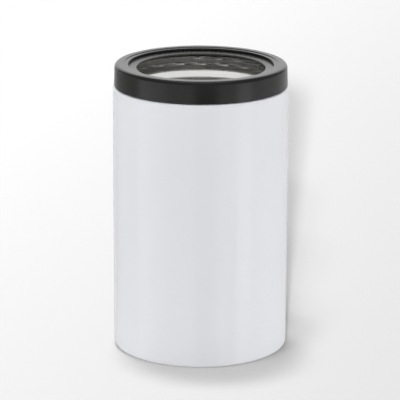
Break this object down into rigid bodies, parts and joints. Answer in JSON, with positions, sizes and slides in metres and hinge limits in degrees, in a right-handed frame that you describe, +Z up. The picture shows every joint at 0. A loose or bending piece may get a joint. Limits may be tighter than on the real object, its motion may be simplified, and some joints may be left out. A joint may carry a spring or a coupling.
{
  "type": "can cooler sleeve",
  "caption": "Insulated steel sleeve that keeps a drink cold: a white double-walled cup whose black screw collar holds a soft grip ring.",
  "frame": {"origin": "centre of the foot ring, on the surface that the sleeve stands on", "axes": "+Z up along the axis of the sleeve, -Y towards the front in the picture"},
  "size_m": [0.08, 0.08, 0.1325],
  "materials": {
    "white_coat": "glossy white coat",
    "steel": "turned and polished",
    "black_plastic": "satin",
    "silicone": "soft matt",
    "solder_glass": "melted bead",
    "getter_metal": "sintered"
  },
  "bodies": {
    "sleeve": {"outer_shell": "white_coat", "liner": "steel", "outer_base": "steel", "base_cover": "steel", "port_seal": "solder_glass", "getter": "getter_metal", "getter_clip": "steel"},
    "gasket": {"gasket": "silicone"},
    "collar": {"collar": "black_plastic"}
  },
  "joints": [
    {"name": "gasket_lift", "type": "slide", "parent": "sleeve", "child": "gasket", "axis": [0, 0, 1], "range_m": [0, 0.007]},
    {"name": "collar_turn", "type": "hinge", "parent": "gasket", "child": "collar", "pos_m": [0, 0, 0.1275], "axis": [0, 0, 1], "range_deg": [0, 900]}
  ],
  "couplings": [
    {"joint": "gasket_lift", "follows": "collar_turn", "m_per_rad": 0.00044563}
  ]
}
